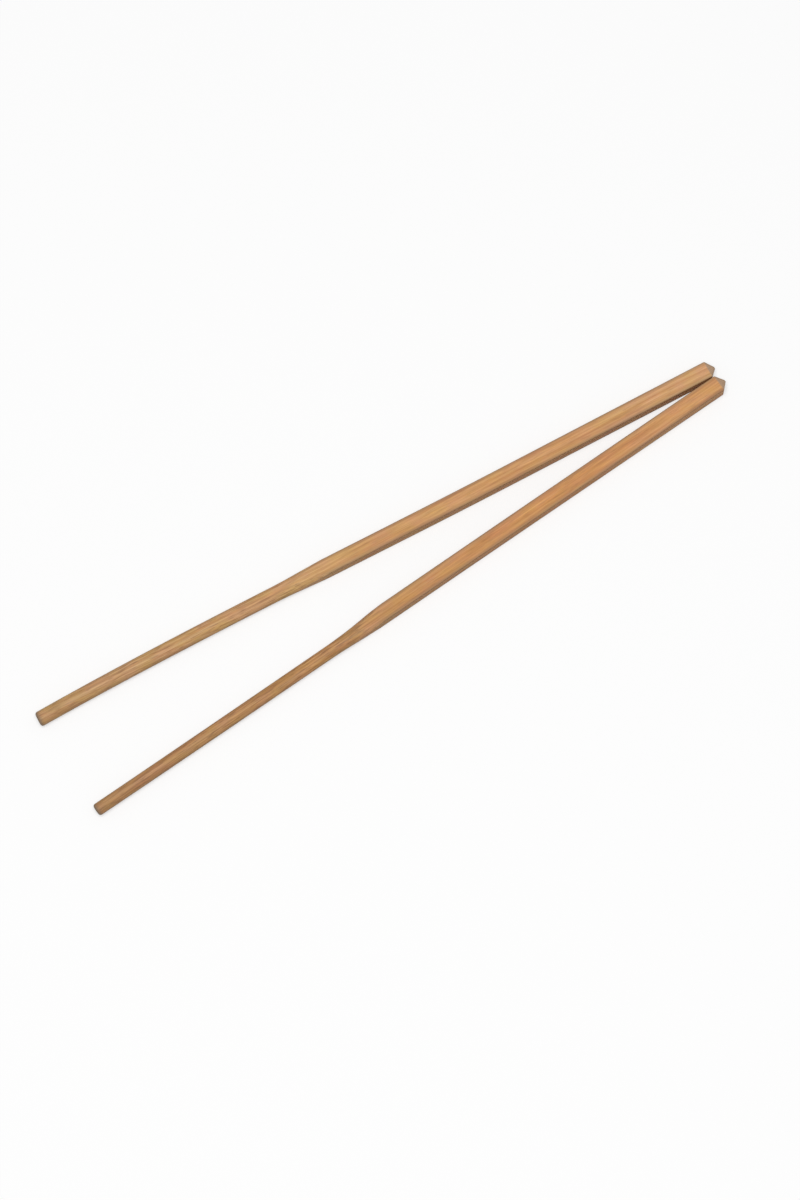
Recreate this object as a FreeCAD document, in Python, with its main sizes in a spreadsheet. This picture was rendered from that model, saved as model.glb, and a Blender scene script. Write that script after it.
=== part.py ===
import FreeCAD, Part

import math
import os

import Sketcher

# A pair of square-handled, round-ended bamboo chopsticks, lying in a narrow V on a flat surface.
#
# Each stick is one piece of bamboo. A raw bar is planed to a slender square taper and its four long
# edges are eased. Four slanting strokes cut its butt to a blunt point. The eating end is then turned
# round: the cutter runs out of the wood along a wide arc, which leaves the scalloped shoulders where
# the square handle fades into the round shank.
#
# Millimetres, +Z up. X runs along the pair's middle line from the eating ends to the butts. Z = 0 is
# the surface that both handles lie on, and the origin is the middle of the pair's outline on it.
#
# In each stick's own frame, X runs along its axis from the eating end to the butt, and Z is up.

SIZES = {
    # The planed bar, the same for both sticks. It widens evenly from the eating end to the butt.
    "overall_length": 240.0,
    "end_width": 5.05,
    "butt_width": 5.5,
    "edge_ease": 0.35,
    # The blunt point: its small flat, and how far its four facets lean back from that flat.
    "point_flat": 0.6,
    "point_angle": 46.0,
    # The turned end: the arc along which the cutter runs out, and the rounding of the tip's rim.
    "runout_radius": 150.0,
    "tip_ease": 0.85,
    # Bamboo is turned with some play, so the two shanks differ. A turned length runs from the eating
    # end to where the cutter starts to run out. A shift moves a shank off its handle's axis, away
    # from the other stick.
    "upper_turned_length": 83.0,
    "upper_shank_dia": 4.95,
    "upper_tip_dia": 4.8,
    "upper_turning_shift": 0.0,
    "lower_turned_length": 87.0,
    "lower_shank_dia": 4.2,
    "lower_tip_dia": 4.0,
    "lower_turning_shift": 0.3,
    # How the pair lies: the angle between the sticks, the gap between their butts, and how much
    # further out the lower stick's butt stands.
    "spread_angle": 6.8,
    "butt_gap": 0.2,
    "lower_lead": 0.5,
}
OUTWARD = {"upper": 1, "lower": -1}  # the way each stick faces away from the other, along Y


def make_size_sheet(doc):
    """Makes the sheet of driving dimensions, one named cell each."""
    sheet = doc.addObject("Spreadsheet::Sheet", "sizes")
    for row, (name, value) in enumerate(SIZES.items(), start=1):
        sheet.set(f"A{row}", name)
        sheet.set(f"B{row}", str(value))
        sheet.setAlias(f"B{row}", name)
    doc.recompute()


def origin_feature(body, role):
    """Finds one of a body's own origin planes or axes by its role."""
    return next(feature for feature in body.Origin.OriginFeatures if feature.Role == role)


def add_sketch(body, name, plane):
    """Adds an empty sketch on one of the body's own origin planes."""
    sketch = body.newObject("Sketcher::SketchObject", name)
    sketch.AttachmentSupport = [(origin_feature(body, plane), "")]
    sketch.MapMode = "FlatFace"
    return sketch


def add_chain(sketch, corners):
    """Adds straight lines from each corner to the next, joined end to end, and lists them."""
    points = [FreeCAD.Vector(x, y, 0) for x, y in corners]
    lines = []
    for start, end in zip(points, points[1:]):
        lines.append(sketch.addGeometry(Part.LineSegment(start, end)))
    for line, following in zip(lines, lines[1:]):
        sketch.addConstraint(Sketcher.Constraint("Coincident", line, 2, following, 1))
    return lines


def add_outline(sketch, corners):
    """Adds a closed outline of straight lines through the corners, and lists its lines."""
    lines = add_chain(sketch, corners + corners[:1])
    sketch.addConstraint(Sketcher.Constraint("Coincident", lines[-1], 2, lines[0], 1))
    return lines


def set_straight(sketch, horizontal, vertical):
    """Holds some lines of a sketch horizontal and others vertical."""
    for line in horizontal:
        sketch.addConstraint(Sketcher.Constraint("Horizontal", line))
    for line in vertical:
        sketch.addConstraint(Sketcher.Constraint("Vertical", line))


def drive(sketch, name, expression, kind, *where):
    """Adds a named dimension to a sketch and ties it to the size sheet.

    where holds what the dimension is between, and then its value when the sketch is drawn.
    """
    index = sketch.addConstraint(Sketcher.Constraint(kind, *where))
    sketch.renameConstraint(index, name)
    sketch.setExpression(f"Constraints.{name}", expression)


def ease_edges(doc, body, name, size, wanted):
    """Rounds those edges of the body, as it stands, that wanted says yes to."""
    base = body.Tip
    eased = body.newObject("PartDesign::Fillet", name)
    edges = enumerate(base.Shape.Edges, start=1)
    eased.Base = (base, [f"Edge{number}" for number, edge in edges if wanted(edge)])
    eased.setExpression("Radius", size)
    doc.recompute()


def cut_four_sides(doc, body, waste, name):
    """Cuts a sketch's waste off one side, right through, and then off the other three alike."""
    stroke = body.newObject("PartDesign::Pocket", f"{name}_stroke")
    stroke.Profile = waste
    stroke.SideType = "Symmetric"
    stroke.Type = "ThroughAll"
    doc.recompute()
    strokes = body.newObject("PartDesign::PolarPattern", f"{name}_strokes")
    strokes.Originals = [stroke]
    strokes.Axis = (origin_feature(body, "X_Axis"), [""])
    strokes.Angle = 360
    strokes.Occurrences = 4
    body.Tip = strokes
    doc.recompute()


def saw_raw_bar(doc, body):
    """Saws a square bar, twice as wide as the butt will be."""
    half = SIZES["butt_width"]
    section = add_sketch(body, "raw_section", "YZ_Plane")
    corners = [(-half, -half), (half, -half), (half, half), (-half, half)]
    bottom, right, top, left = add_outline(section, corners)
    set_straight(section, horizontal=[bottom, top], vertical=[right, left])
    section.addConstraint(Sketcher.Constraint("Equal", bottom, right))
    section.addConstraint(Sketcher.Constraint("Symmetric", bottom, 1, top, 1, -1, 1))
    drive(section, "width", "2 * sizes.butt_width", "DistanceX", bottom, 1, bottom, 2, 2 * half)
    bar = body.newObject("PartDesign::Pad", "raw_bar")
    bar.Profile = section
    bar.setExpression("Length", "sizes.overall_length")
    doc.recompute()


def plane_taper(doc, body):
    """Planes the bar's four sides to an even taper, and eases the long edges between them."""
    length, end, butt = SIZES["overall_length"], SIZES["end_width"] / 2, SIZES["butt_width"] / 2
    clear = 2 * SIZES["butt_width"]
    waste = add_sketch(body, "planing_waste", "XY_Plane")
    corners = [(0, end), (length, butt), (length, clear), (0, clear)]
    side, at_butt, outside, at_end = add_outline(waste, corners)
    set_straight(waste, horizontal=[outside], vertical=[at_butt, at_end])
    waste.addConstraint(Sketcher.Constraint("PointOnObject", side, 1, -2))
    drive(waste, "length", "sizes.overall_length", "DistanceX", side, 1, side, 2, length)
    drive(waste, "half_end", "sizes.end_width / 2", "DistanceY", -1, 1, side, 1, end)
    drive(waste, "half_butt", "sizes.butt_width / 2", "DistanceY", -1, 1, side, 2, butt)
    drive(waste, "clear", "2 * sizes.butt_width", "DistanceY", -1, 1, outside, 1, clear)
    cut_four_sides(doc, body, waste, "planing")
    ease_edges(doc, body, "eased_sides", "sizes.edge_ease", lambda edge: edge.Length > length / 2)


def cut_point(doc, body):
    """Cuts the butt to a blunt four-sided point, with a small flat left at its end."""
    length, flat, clear = SIZES["overall_length"], SIZES["point_flat"] / 2, SIZES["butt_width"]
    run = (clear - flat) * math.tan(math.radians(SIZES["point_angle"]))
    waste = add_sketch(body, "point_waste", "XY_Plane")
    corners = [(length, flat), (length, clear), (length - run, clear)]
    at_butt, outside, facet = add_outline(waste, corners)
    set_straight(waste, horizontal=[outside], vertical=[at_butt])
    drive(waste, "length", "sizes.overall_length", "DistanceX", -1, 1, at_butt, 1, length)
    drive(waste, "half_flat", "sizes.point_flat / 2", "DistanceY", -1, 1, at_butt, 1, flat)
    drive(waste, "clear", "sizes.butt_width", "DistanceY", -1, 1, at_butt, 2, clear)
    slant = "(sizes.butt_width - sizes.point_flat / 2) * tan(sizes.point_angle)"
    drive(waste, "run", slant, "DistanceX", facet, 1, at_butt, 2, run)
    cut_four_sides(doc, body, waste, "point")


def turn_shank(doc, body, side):
    """Turns the eating end round, runs the cutter out along an arc and eases the tip's rim.

    The waste's lower edge is the shank's slight taper, from the tip to where the arc starts. The arc
    leaves it smoothly and climbs clear of the bar's corners.
    """
    start, radius, clear = SIZES[f"{side}_turned_length"], SIZES["runout_radius"], SIZES["butt_width"]
    tip, shank = SIZES[f"{side}_tip_dia"] / 2, SIZES[f"{side}_shank_dia"] / 2
    lean = math.atan2(shank - tip, start)
    centre = FreeCAD.Vector(start - radius * math.sin(lean), shank + radius * math.cos(lean), 0)
    climb = math.acos((centre.y - clear) / radius)
    straight_down = -math.pi / 2

    waste = add_sketch(body, "turning_waste", "XY_Plane")
    shift = f"{OUTWARD[side]} * sizes.{side}_turning_shift"
    waste.setExpression("AttachmentOffset.Base.y", shift)
    circle = Part.Circle(centre, FreeCAD.Vector(0, 0, 1), radius)
    arc = Part.ArcOfCircle(circle, straight_down + lean, straight_down + climb)
    corners = [(arc.EndPoint.x, clear), (0, clear), (0, tip), (start, shank)]
    outside, at_tip, surface = add_chain(waste, corners)
    runout = waste.addGeometry(arc)
    waste.addConstraint(Sketcher.Constraint("Tangent", surface, 2, runout, 1))
    waste.addConstraint(Sketcher.Constraint("Coincident", runout, 2, outside, 1))
    waste.addConstraint(Sketcher.Constraint("PointOnObject", at_tip, 1, -2))
    set_straight(waste, horizontal=[outside], vertical=[at_tip])
    drive(waste, "turned_length", f"sizes.{side}_turned_length", "DistanceX", surface, 1, surface, 2, start)
    drive(waste, "tip_radius", f"sizes.{side}_tip_dia / 2", "DistanceY", -1, 1, surface, 1, tip)
    drive(waste, "shank_radius", f"sizes.{side}_shank_dia / 2", "DistanceY", -1, 1, surface, 2, shank)
    drive(waste, "runout_radius", "sizes.runout_radius", "Radius", runout, radius)
    drive(waste, "clear", "sizes.butt_width", "DistanceY", -1, 1, outside, 1, clear)

    turning = body.newObject("PartDesign::Groove", "turning")
    turning.Profile = waste
    turning.ReferenceAxis = (waste, ["H_Axis"])
    turning.Angle = 360
    doc.recompute()

    def at_tip_end(edge):
        return edge.BoundBox.XMax < SIZES["tip_ease"]

    ease_edges(doc, body, "eased_rim", "sizes.tip_ease", at_tip_end)


def lay_down(body, side):
    """Lays a stick with its lower face level on Z = 0, turned away from the other about their butts."""
    length, end, butt = SIZES["overall_length"], SIZES["end_width"] / 2, SIZES["butt_width"] / 2
    taper = math.atan((butt - end) / length)
    turn = math.radians(SIZES["spread_angle"] / 2)
    point_run = (butt - SIZES["point_flat"] / 2) * math.tan(math.radians(SIZES["point_angle"]))
    inner_edge = (length - point_run) * math.sin(turn) + butt * math.cos(turn)
    along = SIZES["lower_lead"] if side == "lower" else 0
    across = OUTWARD[side] * (inner_edge + SIZES["butt_gap"] / 2)
    rotation = FreeCAD.Rotation(-OUTWARD[side] * math.degrees(turn), -math.degrees(taper), 0)
    body.Placement = FreeCAD.Placement(FreeCAD.Vector(along, across, end * math.cos(taper)), rotation)


def make_chopstick(doc, side):
    """Makes one stick, from raw bar to finished, and lays it down."""
    body = doc.addObject("PartDesign::Body", f"{side}_chopstick")
    body.Label = f"{side}_chopstick"
    saw_raw_bar(doc, body)
    plane_taper(doc, body)
    cut_point(doc, body)
    turn_shank(doc, body, side)
    lay_down(body, side)
    return body


def centre_pair(sticks):
    """Moves the pair along and across until the origin is the middle of its outline."""
    middle = Part.makeCompound([stick.Shape for stick in sticks]).optimalBoundingBox(False).Center
    for stick in sticks:
        stick.Placement.Base -= FreeCAD.Vector(middle.x, middle.y, 0)


def check_and_export(doc, sticks):
    """Stops at anything that failed, and otherwise writes each stick to a file of its own."""
    for item in doc.Objects:
        if "Invalid" in item.State or "Error" in item.State:
            raise RuntimeError(f"{item.Label} failed to recompute")
    os.makedirs("parts", exist_ok=True)
    for stick in sticks:
        if stick.Shape.isNull() or not stick.Shape.isValid() or len(stick.Shape.Solids) != 1:
            raise RuntimeError(f"{stick.Label} isn't one sound solid")
        stick.Shape.exportStep(f"parts/{stick.Label}.step")


doc = FreeCAD.newDocument("chopsticks")
make_size_sheet(doc)
sticks = [make_chopstick(doc, side) for side in OUTWARD]
doc.recompute()
centre_pair(sticks)
doc.recompute()
check_and_export(doc, sticks)
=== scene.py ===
"""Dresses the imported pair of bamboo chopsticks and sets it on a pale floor.

Each stick's solid is replaced by a fine surface of the same form. The surface adds what the solid
leaves out: the slight sideways bow of a stick that has dried, creases softened by tumbling, and the
shallow grooves where the bamboo's fibre bundles come to the surface. Sizes in the tables are in
millimetres, and the meshes are in metres.

In each stick's own frame, X runs along its axis from the eating end to the butt, and Z is up. A
station is a distance along X, and an angle goes round the axis from +Y towards +Z.
"""

import math

import bpy
import numpy as np
from mathutils import Matrix, Vector


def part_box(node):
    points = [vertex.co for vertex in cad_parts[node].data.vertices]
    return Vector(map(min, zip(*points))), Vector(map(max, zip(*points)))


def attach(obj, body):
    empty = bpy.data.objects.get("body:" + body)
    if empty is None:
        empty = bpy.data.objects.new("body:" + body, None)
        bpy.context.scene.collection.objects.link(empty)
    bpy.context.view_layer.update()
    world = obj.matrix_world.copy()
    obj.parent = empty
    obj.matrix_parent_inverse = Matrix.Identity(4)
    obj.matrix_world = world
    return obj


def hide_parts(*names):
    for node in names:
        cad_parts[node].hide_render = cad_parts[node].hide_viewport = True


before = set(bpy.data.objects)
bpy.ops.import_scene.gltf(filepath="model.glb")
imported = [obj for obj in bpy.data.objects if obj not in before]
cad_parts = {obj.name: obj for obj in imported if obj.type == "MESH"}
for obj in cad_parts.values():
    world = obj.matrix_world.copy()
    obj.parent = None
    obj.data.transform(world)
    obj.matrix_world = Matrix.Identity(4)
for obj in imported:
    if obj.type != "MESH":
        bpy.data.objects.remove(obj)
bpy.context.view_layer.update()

MM = 0.001

# The planed bar and its blunt point, the same for both sticks.
LENGTH = 240.0
END_WIDTH = 5.05
BUTT_WIDTH = 5.5
EDGE_EASE = 0.35
POINT_FLAT = 0.6
POINT_ANGLE = math.radians(46.0)

# The turned end's run-out arc and rounded rim, the same for both sticks.
RUNOUT_RADIUS = 150.0
TIP_EASE = 0.85

HALF_SPREAD = math.radians(3.4)  # each stick's heading, away from the pair's middle line

# Drying has bent each stick outwards by its bow, all of it within this length from the tip.
BOWED_LENGTH = 165.0

# How far tumbling has rubbed down the creases round the point and the scalloped shoulders.
POINT_CREASE = 0.15
SHOULDER_CREASE = 0.04

# The difference in reach over which planed wood passes into turned wood.
TURNING_FADE = 0.1

# Fibre bundles: hair-fine dark strands that run the length of the bamboo and drift a little. They
# start on a grid that reaches this far from the axis, each moved by up to the jitter, a share of the
# spacing. The faintest shows at this strength, and the boldest at 1.
BUNDLE_FIELD = 3.4
BUNDLE_SPACING = 0.75
BUNDLE_JITTER = 0.4
BUNDLE_RADIUS = 0.15
BUNDLE_GROOVE = 0.012
FAINTEST_BUNDLE = 0.35
DRIFTS = ((150.0, 0.20), (47.0, 0.07))  # each wave's length and how far it swings

# How wide the painted shade is along the planed edges, and how much of it the cuts of the point removed.
EDGE_SHADE_WIDTH = 0.55
EDGE_SHADE_LOST = 0.5

# The handle is worn this much next to the shank. The wear fades out over this length, to none at
# this station.
WORN_MOST = 0.8
WORN_FADE = 65.0
WORN_END = 170.0

# Painted shade, darker and warmer as from warm bounced light, covers the middle of the handle between
# these stations and fades out at both ends.
WARM_SHADE_START = 90.0
WARM_SHADE_END = 212.0
WARM_SHADE_FADE = 25.0

# How far the darkening at the tip reaches, and the length and strength of the faint darkening behind it.
DARK_TIP_LENGTH = 1.3
DARK_TIP_TRAIL = 80.0
DARK_TIP_TRAIL_MOST = 0.3

# The surface's grid: points round a section, and rows on each stretch from the tip to the butt. The
# point's rows are closer, and cover this length.
AROUND = 208
TIP_CAP_ROWS = 19
RIM_ROWS = 13
BAR_ROWS = 330
POINT_ROWS = 41
BUTT_CAP_ROWS = 6
POINT_STRETCH = 3.2

# Each stick: the way it faces away from the other along Y, the size of its turned end and how far
# that sits off the handle's axis, its bow, and the seed of its fibre bundles.
STICKS = {
    "upper_chopstick": {
        "outward": 1,
        "turned_length": 83.0,
        "shank_dia": 4.95,
        "tip_dia": 4.8,
        "shift": 0.0,
        "bow": 0.87,
        "seed": 11,
    },
    "lower_chopstick": {
        "outward": -1,
        "turned_length": 87.0,
        "shank_dia": 4.2,
        "tip_dia": 4.0,
        "shift": 0.3,
        "bow": 0.12,
        "seed": 29,
    },
}

# How each stick has browned and worn, and the tint of the painted warm shade on its handle. The
# offset moves its grain, in millimetres, as each stick is cut from its own piece of stem.
LOOKS = {
    "upper_chopstick": {
        "offset": (0, 0, 0),
        "tones": ("#BF8E5B", "#CB9E6A", "#D5AB78"),
        "worn_stain": "#F9FEFF",
        "warm_shade_tint": "#F9EFE2",
        "strand_colour": "#84552F",
    },
    "lower_chopstick": {
        "offset": (400, 40, 20),
        "tones": ("#BC854F", "#C9955D", "#D3A16A"),
        "worn_stain": "#E7EBEF",
        "warm_shade_tint": "#FDF8F1",
        "strand_colour": "#744824",
    },
}

# The same on both sticks: stretches browned yellow or pink, cut ends, darker tips, and painted shade on
# the edges.
YELLOW_STAIN = "#FEFBE8"
PINK_STAIN = "#FFF3FB"
CUT_END_COLOUR = "#B99D83"
DARK_TIP_COLOUR = "#7C644B"
# Painted shade on the planed edges.
EDGE_SHADE_COLOUR = "#7A624B"


def bell(distance, width):
    """A bell curve of a distance: 1 on the line, fading out beyond the width."""
    return np.exp(-((distance / width) ** 2))


def soft_minimum(first, second, crease):
    """The smaller of two arrays, with the crease between them rounded over.

    Where they differ by less than the crease, a parabola leads from one to the other. It dips under
    the smaller one by a quarter of the crease at most.
    """
    share = np.clip(0.5 + 0.5 * (second - first) / crease, 0, 1)
    return second + (first - second) * share - crease * share * (1 - share)


def rounded_square_reach(angle, half, corner):
    """How far a rounded square reaches from its middle in a direction.

    Folded into one eighth of the square, the direction is (major, minor). It meets the flat at
    half / major, or else the corner's circle, whose centre is at (inner, inner): the larger root of
    |reach * (major, minor) - (inner, inner)| = corner.
    """
    major = np.maximum(abs(np.cos(angle)), abs(np.sin(angle)))
    minor = np.minimum(abs(np.cos(angle)), abs(np.sin(angle)))
    inner = half - corner
    along = inner * (major + minor)
    root = np.sqrt(np.maximum(along**2 - 2 * inner**2 + corner**2, 0))
    flat = half / major
    return np.where(flat * minor <= inner, flat, along + root)


def turned_radius(station, stick):
    """The turned end's radius: a slight taper with a quarter-round rim, then the run-out arc.

    The arc's centre lies square off the taper's end, so the arc leaves the taper without a kink.
    """
    length = stick["turned_length"]
    tip = stick["tip_dia"] / 2
    shank = stick["shank_dia"] / 2
    lean = math.atan2(shank - tip, length)
    centre_x = length - RUNOUT_RADIUS * math.sin(lean)
    centre_y = shank + RUNOUT_RADIUS * math.cos(lean)
    drop = np.clip((TIP_EASE - station) / TIP_EASE, 0, 1)
    rim = TIP_EASE * (1 - np.sqrt(1 - drop**2))
    taper = tip + (shank - tip) * station / length - rim
    swing = np.clip(station - centre_x, 0, RUNOUT_RADIUS)
    arc = centre_y - np.sqrt(RUNOUT_RADIUS**2 - swing**2)
    return np.where(station < length, taper, arc)


def section(station, angle, stick):
    """How far the stick reaches from its axis, and how much of that surface is turned, 0 to 1.

    The planed bar is a rounded square, the blunt point is a square that shrinks at a steady slope
    towards the butt, and the turned end is a circle that may sit off the axis. The stick is what
    lies inside all three, and it is turned where the circle is the smallest.
    """
    half = (END_WIDTH + (BUTT_WIDTH - END_WIDTH) * station / LENGTH) / 2
    bar = rounded_square_reach(angle, half, EDGE_EASE)
    point_half = POINT_FLAT / 2 + (LENGTH - station) / math.tan(POINT_ANGLE)
    point = point_half / np.maximum(abs(np.cos(angle)), abs(np.sin(angle)))
    planed = soft_minimum(bar, point, POINT_CREASE)
    shift = stick["outward"] * stick["shift"]
    radius = turned_radius(station, stick)
    circle = shift * np.cos(angle) + np.sqrt(np.maximum(radius**2 - (shift * np.sin(angle)) ** 2, 0))
    turned = np.clip(0.5 + (planed - circle) / TURNING_FADE, 0, 1)
    return soft_minimum(planed, circle, SHOULDER_CREASE), turned


def bow_at(station, stick):
    """How far the axis is bent towards +Y: a cubic curve that meets the straight handle smoothly.

    It is part * (1 - part)^2 of the bowed length, which is 0 at the tip and has its peak of 4 / 27 a
    third of the way along.
    """
    part = np.clip(station / BOWED_LENGTH, 0, 1)
    return stick["outward"] * stick["bow"] * 27 / 4 * part * (1 - part) ** 2


def directions():
    """Angles that place points evenly along the outline of the butt's rounded square.

    The outline is walked in small straight steps, and each point's angle is looked up where its
    share of the whole walk is reached.
    """
    steps = 7200
    fine = np.linspace(0, 2 * math.pi, steps + 1)
    reach = rounded_square_reach(fine, BUTT_WIDTH / 2, EDGE_EASE)
    run = np.hypot(np.diff(reach * np.cos(fine)), np.diff(reach * np.sin(fine)))
    travelled = np.concatenate([[0], np.cumsum(run)])
    return np.interp(np.arange(AROUND) / AROUND * travelled[-1], travelled, fine)


def stations():
    """Each row's station and fullness: 1 along the stick, shrinking to 0 across two flat caps."""
    point_start = LENGTH - POINT_STRETCH
    tip_cap = np.linspace(0, 1, TIP_CAP_ROWS)[:-1]
    rim = TIP_EASE * (1 - np.cos(np.linspace(0, math.pi / 2, RIM_ROWS)))
    bar = np.linspace(TIP_EASE, point_start, BAR_ROWS)[1:]
    point = np.linspace(point_start, LENGTH, POINT_ROWS)[1:]
    butt_cap = np.linspace(1, 0, BUTT_CAP_ROWS)[1:]
    station = np.concatenate([0 * tip_cap, rim, bar, point, LENGTH + 0 * butt_cap])
    fullness = np.concatenate([tip_cap, np.ones(rim.size + bar.size + point.size), butt_cap])
    return station[:, None], fullness[:, None]


def bundle_strength(along, across, up, seed):
    """How much of a fibre bundle shows at each point, 0 to 1.

    Bundles start on a jittered grid across the section and drift sideways in two slow waves. Each
    gives a bell curve of the distance from its line, and the strongest counts.
    """
    chance = np.random.default_rng(seed)
    steps = np.arange(-BUNDLE_FIELD, BUNDLE_FIELD, BUNDLE_SPACING)
    lines = np.stack(np.meshgrid(steps, steps), axis=-1).reshape(-1, 2)
    lines += chance.uniform(-BUNDLE_JITTER, BUNDLE_JITTER, lines.shape) * BUNDLE_SPACING
    strength = np.zeros_like(across)
    for y, z in lines:
        for wave, swing in DRIFTS:
            phases = chance.uniform(0, 2 * math.pi, 2)
            y = y + swing * np.sin(2 * math.pi * along / wave + phases[0])
            z = z + swing * np.sin(2 * math.pi * along / wave + phases[1])
        boldness = chance.uniform(FAINTEST_BUNDLE, 1)
        strength = np.maximum(strength, boldness * bell(np.hypot(across - y, up - z), BUNDLE_RADIUS))
    return strength


def wear_and_painted_shade(station, angle, reach, turned, fullness):
    """How the surface was cut and has worn at each point, and where shade is painted on: shares from 0 to
    1.

    Cut is how squarely the surface crosses the grain: the sine of its slope over that of 45
    degrees, and 1 on the flat caps. Edge shade is painted shade: a bell curve across each planed
    corner, weaker where the point is cut. Worn is 1 where the stick is turned, and fades out along
    the handle. Warm shade is painted shade with warm bounced light on a stretch of the handle, fading
    out at both ends. Dark tip is a bell curve from the tip, over a faint trail that fades out evenly.
    """
    step = np.maximum(np.gradient(station, axis=0), 1e-6)  # above 0, as a cap's rows share a station
    slope = np.gradient(reach, axis=0) / step
    crossing = np.minimum(abs(slope) / np.hypot(1, slope) / math.sin(math.pi / 4), 1)
    cut = np.where(fullness < 1, 1, crossing)
    off_edge = abs((angle + math.pi / 4) % (math.pi / 2) - math.pi / 4) - math.pi / 4
    edge_shade = bell(reach * off_edge, EDGE_SHADE_WIDTH) * (1 - turned)
    worn_handle = WORN_MOST * np.clip((WORN_END - station) / WORN_FADE, 0, 1)
    warm_shade = np.clip(np.minimum(station - WARM_SHADE_START, WARM_SHADE_END - station) / WARM_SHADE_FADE, 0, 1)
    trail = DARK_TIP_TRAIL_MOST * np.clip(1 - station / DARK_TIP_TRAIL, 0, 1)
    return {
        "turned": turned,
        "cut": cut,
        "edge_shade": edge_shade * (1 - EDGE_SHADE_LOST * cut),
        "worn": np.maximum(turned, worn_handle),
        "warm_shade": warm_shade * (1 - turned),
        "dark_tip": np.maximum(bell(station, DARK_TIP_LENGTH), trail) + 0 * angle,
    }


def lay_down(points, node, stick):
    """Pitches a stick to lie on its lower face, turns it to its heading and moves it to its solid.

    It comes to the middle of the solid's box along X and Y, and to the box's floor.
    """
    pitch = math.atan((BUTT_WIDTH - END_WIDTH) / 2 / LENGTH)
    turn = Matrix.Rotation(-stick["outward"] * HALF_SPREAD, 3, "Z") @ Matrix.Rotation(-pitch, 3, "Y")
    points = points @ np.array(turn).T * MM
    least, most = points.min((0, 1)), points.max((0, 1))
    low, high = (np.array(corner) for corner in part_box(node))
    middle = (low + high - least - most) / 2
    return points + [middle[0], middle[1], low[2] - least[2]]


def closed_grid(name, points, shares):
    """Makes a smooth object of a grid of points whose first and last rows are one point each.

    Rows are joined by quads and the ends are closed by fans of triangles. Each share becomes an
    attribute of the points.
    """
    rows, columns = points.shape[:2]
    index = np.arange((rows - 2) * columns).reshape(rows - 2, columns) + 1
    beside = np.roll(index, -1, axis=1)
    quads = np.stack([index[:-1], index[1:], beside[1:], beside[:-1]], axis=-1).reshape(-1, 4)
    last = (rows - 2) * columns + 1
    tip_fan = np.stack([0 * index[0], index[0], beside[0]], axis=-1)
    butt_fan = np.stack([0 * index[0] + last, beside[-1], index[-1]], axis=-1)

    def one_per_point(values):
        """Drops the repeats in the first and last rows."""
        between = values[1:-1].reshape(-1, *values.shape[2:])
        return np.concatenate([values[:1, 0], between, values[-1:, 0]])

    mesh = bpy.data.meshes.new(name)
    faces = [*quads.tolist(), *tip_fan.tolist(), *butt_fan.tolist()]
    mesh.from_pydata(one_per_point(points).tolist(), [], faces)
    for label, values in shares.items():
        attribute = mesh.attributes.new(label, "FLOAT", "POINT")
        attribute.data.foreach_set("value", one_per_point(values).astype(np.float32))
    mesh.polygons.foreach_set("use_smooth", np.ones(len(mesh.polygons), bool))
    mesh.update()
    piece = bpy.data.objects.new(name, mesh)
    bpy.context.scene.collection.objects.link(piece)
    return piece


def stick_surface(node, stick):
    """Builds one stick from rows of points along it.

    Each point lies at its section's reach from the bowed axis, less the groove of any fibre bundle
    there. The flat caps have no grooves.
    """
    angle = directions()[None, :]
    station, fullness = stations()
    reach, turned = section(station, angle, stick)
    along = station + 0 * angle
    across, up = fullness * reach * np.cos(angle), fullness * reach * np.sin(angle)
    fibre = bundle_strength(along, across, up, stick["seed"])
    shares = {"fibre": fibre, **wear_and_painted_shade(station, angle, reach, turned, fullness)}
    grooved = fullness * (reach - np.where(fullness < 1, 0, BUNDLE_GROOVE) * fibre)
    bowed = bow_at(station, stick) + grooved * np.cos(angle)
    points = np.stack([along, bowed, grooved * np.sin(angle)], axis=-1)
    return closed_grid(f"{node}_surface", lay_down(points, node, stick), shares)


def linear(colour):
    """Turns an sRGB hex colour into a linear one, with full alpha."""
    channels = [int(colour[place : place + 2], 16) / 255 for place in (1, 3, 5)]
    return [c / 12.92 if c <= 0.04045 else ((c + 0.055) / 1.055) ** 2.4 for c in channels] + [1.0]


def add(tree, kind, inputs=(), **settings):
    """Adds a node, sets its properties, and fills or links its inputs by name or number."""
    node = tree.nodes.new(kind)
    for name, value in settings.items():
        setattr(node, name, value)
    for name, value in dict(inputs).items():
        if isinstance(value, bpy.types.NodeSocket):
            tree.links.new(value, node.inputs[name])
        else:
            node.inputs[name].default_value = value
    return node


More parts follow.
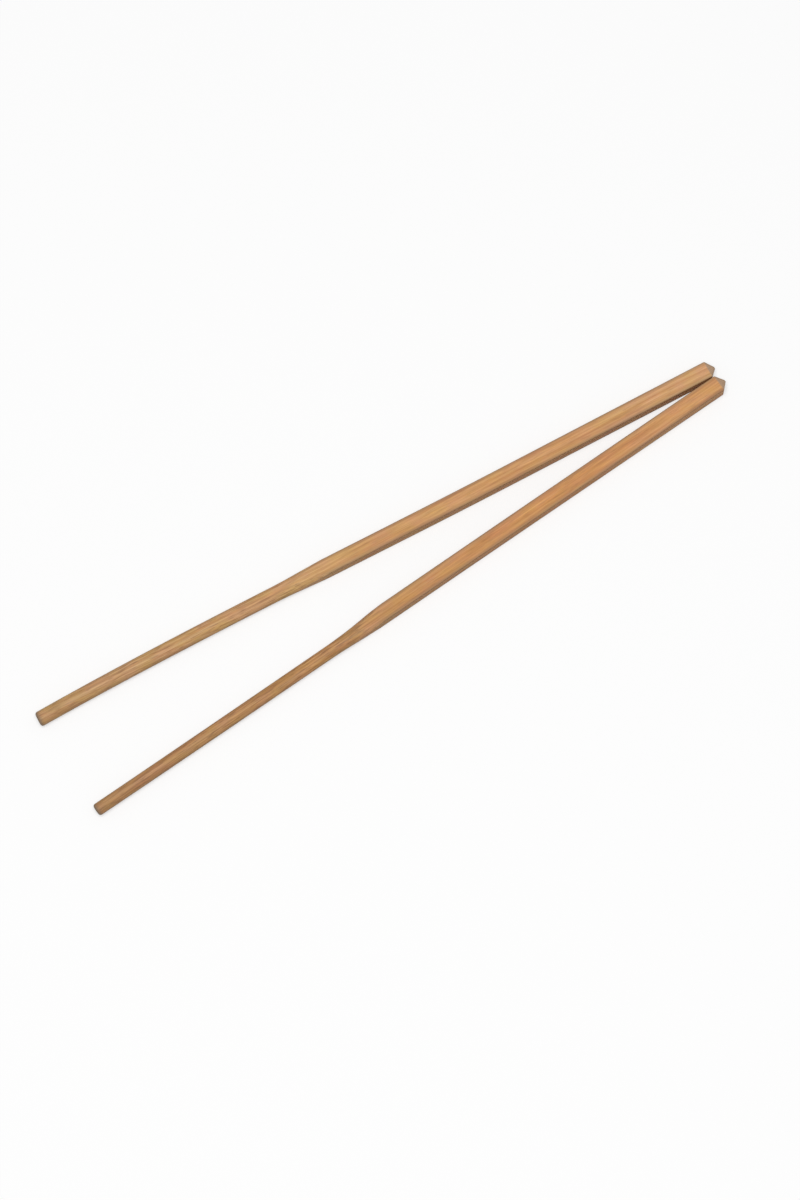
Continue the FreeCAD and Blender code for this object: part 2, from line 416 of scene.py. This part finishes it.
def browned_bamboo(name, heading, offset, tones, worn_stain, warm_shade_tint, strand_colour):
    """Bamboo that is steamed brown, planed, turned and tumbled, with no varnish.

    It looks satin-matt, with soft bands of caramel that drift pinker and yellower along the stem.
    Hair-fine dark strands run through it. They show as long faint lines where it is planed, and as
    darker dashes where turning has cut across them. Cut ends are paler and greyer, the tips are darker,
    the middle of the handle is painted darker and warmer as shade with warm bounced light, and the
    planed edges are painted darker as shade.
    """
    material = bpy.data.materials.new(name)
    material.use_nodes = True
    tree = material.node_tree
    shader = tree.nodes["Principled BSDF"]
    place = add(tree, "ShaderNodeTexCoord").outputs["Object"]
    to_stick = {"Vector": place, "Location": offset, "Rotation": (0, 0, -heading), "Scale": (1 / MM,) * 3}
    grain = add(tree, "ShaderNodeMapping", to_stick).outputs["Vector"]

    def share(attribute, least, most):
        """One of the mesh's own shares, spread from least to most."""
        own = add(tree, "ShaderNodeAttribute", attribute_name=attribute).outputs["Fac"]
        return add(tree, "ShaderNodeMapRange", {"Value": own, "To Min": least, "To Max": most}).outputs[0]

    def streaks(length, width, detail):
        """Noise drawn out along the grain, with streaks of about this length and width in mm."""
        fit = {"Vector": grain, "Scale": (1 / length, 1 / width, 1 / width)}
        drawn = {"Vector": add(tree, "ShaderNodeMapping", fit).outputs[0], "Scale": 1.0, "Detail": detail}
        return add(tree, "ShaderNodeTexNoise", drawn).outputs["Fac"]

    # Growth bands, about 0.8 mm wide and 25 mm long between drifts of the cut.
    bands = add(tree, "ShaderNodeValToRGB", {"Fac": streaks(25, 0.8, 2.0)})
    stops = bands.color_ramp.elements
    stops.new(0.5)
    for stop, position, tone in zip(stops, (0.34, 0.5, 0.66), tones):
        stop.position = position
        stop.color = linear(tone)

    # Cell walls, really 0.02 mm apart and drawn as fine streaks 0.28 mm wide, so that they show.
    # They darken and lighten the bands, more where the wood is turned.
    fine = streaks(7, 0.28, 3.0)
    centred = add(tree, "ShaderNodeMath", {0: fine, 1: 0.5}, operation="SUBTRACT").outputs[0]
    swing = {0: centred, 1: share("turned", 0.65, 1.2), 2: 1.0}
    shade = add(tree, "ShaderNodeMath", swing, operation="MULTIPLY_ADD").outputs[0]
    shaded = {0: bands.outputs["Color"], "Scale": shade}
    colour = add(tree, "ShaderNodeVectorMath", shaded, operation="SCALE").outputs[0]

    # The steam browns some stretches yellow and others pink, in patches 7 mm long.
    patches = {"Value": streaks(7, 3.5, 2.0), "From Min": 0.36, "From Max": 0.64}
    drift = add(tree, "ShaderNodeMapRange", patches).outputs[0]
    stains = {0: drift, 6: linear(YELLOW_STAIN), 7: linear(PINK_STAIN)}
    steamed = add(tree, "ShaderNodeMix", stains, data_type="RGBA").outputs[2]

    # Cut vessels, really 0.2 mm across and drawn 0.4 mm wide: dark dashes some 4 mm long.
    cuts = {"Value": streaks(4, 0.4, 1.0), "From Min": 0.53, "From Max": 0.7}
    vessels = {0: add(tree, "ShaderNodeMapRange", cuts).outputs[0], 1: share("turned", 0.22, 0.55)}
    dashes = add(tree, "ShaderNodeMath", vessels, operation="MULTIPLY").outputs[0]

    # Fibre bundles show more strongly where the wood is turned.
    bundles = {0: share("fibre", 0, 1), 1: share("turned", 0.3, 0.5)}
    strands = add(tree, "ShaderNodeMath", bundles, operation="MULTIPLY").outputs[0]

    # What lies over the shaded bands, lowest first: how strong it is, its colour and how it is laid on.
    layers = (
        (1.0, steamed, "MULTIPLY"),
        (dashes, linear(strand_colour), "MIX"),
        (share("worn", 0, 1), linear(worn_stain), "MULTIPLY"),
        # Painted shade with warm bounced light on the middle of the handle.
        (share("warm_shade", 0, 1), linear(warm_shade_tint), "MULTIPLY"),
        (share("cut", 0, 0.8), linear(CUT_END_COLOUR), "MIX"),
        (share("dark_tip", 0, 0.85), linear(DARK_TIP_COLOUR), "MIX"),
        # Painted shade along the planed edges.
        (share("edge_shade", 0, 0.62), linear(EDGE_SHADE_COLOUR), "MIX"),
        (strands, linear(strand_colour), "MIX"),
    )
    for strength, tone, way in layers:
        laid = {0: strength, 6: colour, 7: tone}
        colour = add(tree, "ShaderNodeMix", laid, data_type="RGBA", blend_type=way).outputs[2]
    tree.links.new(colour, shader.inputs["Base Color"])

    # The lighter streaks are a little rougher, and stand up by less than 0.03 mm.
    dull = {"Value": fine, "From Min": 0.3, "From Max": 0.7, "To Min": 0.6, "To Max": 0.74}
    tree.links.new(add(tree, "ShaderNodeMapRange", dull).outputs[0], shader.inputs["Roughness"])
    bump = add(tree, "ShaderNodeBump", {"Height": fine, "Strength": 0.4, "Distance": 0.03 * MM})
    tree.links.new(bump.outputs["Normal"], shader.inputs["Normal"])
    return material


def add_seen(tree):
    """1 where a surface is seen, straight on, mirrored or through something clear, and else 0."""
    ray = add(tree, "ShaderNodeLightPath").outputs
    straight, mirrored, through = (ray[f"Is {kind} Ray"] for kind in ("Camera", "Glossy", "Transmission"))
    either = add(tree, "ShaderNodeMath", {0: straight, 1: mirrored}, operation="MAXIMUM").outputs[0]
    return add(tree, "ShaderNodeMath", {0: either, 1: through}, operation="MAXIMUM").outputs[0]


def matt_white_paper():
    """Matt white paper: white to the eye, but it throws less than half its light back on the sticks.

    Half of what is seen of it is plain white, so the sticks' shadow stays but is faint.
    """
    material = bpy.data.materials.new("matt_white_paper")
    material.use_nodes = True
    tree = material.node_tree
    tree.nodes.remove(tree.nodes["Principled BSDF"])
    seen = add_seen(tree)
    lit = add(tree, "ShaderNodeBsdfDiffuse", {"Color": linear("#FCFCFC")}).outputs[0]
    plain = add(tree, "ShaderNodeEmission", {"Color": linear("#FFFFFF"), "Strength": 1.0}).outputs[0]
    shown = add(tree, "ShaderNodeMixShader", {0: 0.5, 1: lit, 2: plain}).outputs[0]
    bounced = add(tree, "ShaderNodeBsdfDiffuse", {"Color": linear("#9C9C9C")}).outputs[0]
    paper = add(tree, "ShaderNodeMixShader", {0: seen, 1: bounced, 2: shown}).outputs[0]
    tree.links.new(paper, tree.nodes["Material Output"].inputs["Surface"])
    return material


def lay_floor():
    """Lays a plain square sheet under the sticks, large enough to fill the view."""
    half = 4.0
    mesh = bpy.data.meshes.new("floor")
    corners = [(-half, -half, 0), (half, -half, 0), (half, half, 0), (-half, half, 0)]
    mesh.from_pydata(corners, [], [(0, 1, 2, 3)])
    mesh.materials.append(matt_white_paper())
    floor = bpy.data.objects.new("floor", mesh)
    bpy.context.scene.collection.objects.link(floor)


def light_studio():
    """Hangs a large soft box nearly overhead, a little towards the camera, in an even pale surround.

    The surround is plain white where it is seen, and lights the sticks at 0.28 of that.
    """
    lamp = bpy.data.lights.new("soft_box", "AREA")
    lamp.size = 1.2
    lamp.energy = 38.0
    soft_box = bpy.data.objects.new("soft_box", lamp)
    soft_box.location = (-0.2, -0.2, 2.2)
    soft_box.rotation_euler = (-Vector(soft_box.location)).to_track_quat("-Z", "Y").to_euler()
    bpy.context.scene.collection.objects.link(soft_box)

    world = bpy.data.worlds.new("pale_surround")
    bpy.context.scene.world = world
    world.use_nodes = True
    tree = world.node_tree
    background = tree.nodes["Background"]
    level = {"Value": add_seen(tree), "To Min": 0.28, "To Max": 1.0}
    background.inputs["Color"].default_value = linear("#FFFFFF")
    tree.links.new(add(tree, "ShaderNodeMapRange", level).outputs[0], background.inputs["Strength"])


def place_camera():
    """A long lens, looking steeply down on the pair.

    The azimuth is how far the picture's right-hand side is turned from +X.
    """
    azimuth = math.radians(-31.78)
    elevation = math.radians(75)
    distance = 1.557
    aim = Vector((-0.0046, -0.0095, 0.00275))
    right = Vector((math.cos(azimuth), math.sin(azimuth), 0))
    ahead = Vector((-math.sin(azimuth), math.cos(azimuth), 0))
    look = ahead * math.cos(elevation) - Vector((0, 0, math.sin(elevation)))
    lens = bpy.data.cameras.new("camera")
    lens.sensor_fit = "VERTICAL"
    lens.sensor_height = 36.0
    lens.lens = 150.0
    lens.clip_end = 20.0
    camera = bpy.data.objects.new("camera", lens)
    turn = Matrix((right, right.cross(look), -look)).transposed().to_4x4()
    camera.matrix_world = Matrix.Translation(aim - look * distance) @ turn
    bpy.context.scene.collection.objects.link(camera)
    bpy.context.scene.camera = camera


place_camera()
light_studio()
lay_floor()
for node, stick in STICKS.items():
    piece = stick_surface(node, stick)
    heading = -stick["outward"] * HALF_SPREAD
    piece.data.materials.append(browned_bamboo(f"{node}_browned_bamboo", heading, **LOOKS[node]))
    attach(piece, "root")
    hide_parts(node)

bpy.context.scene.view_settings.view_transform = "Standard"
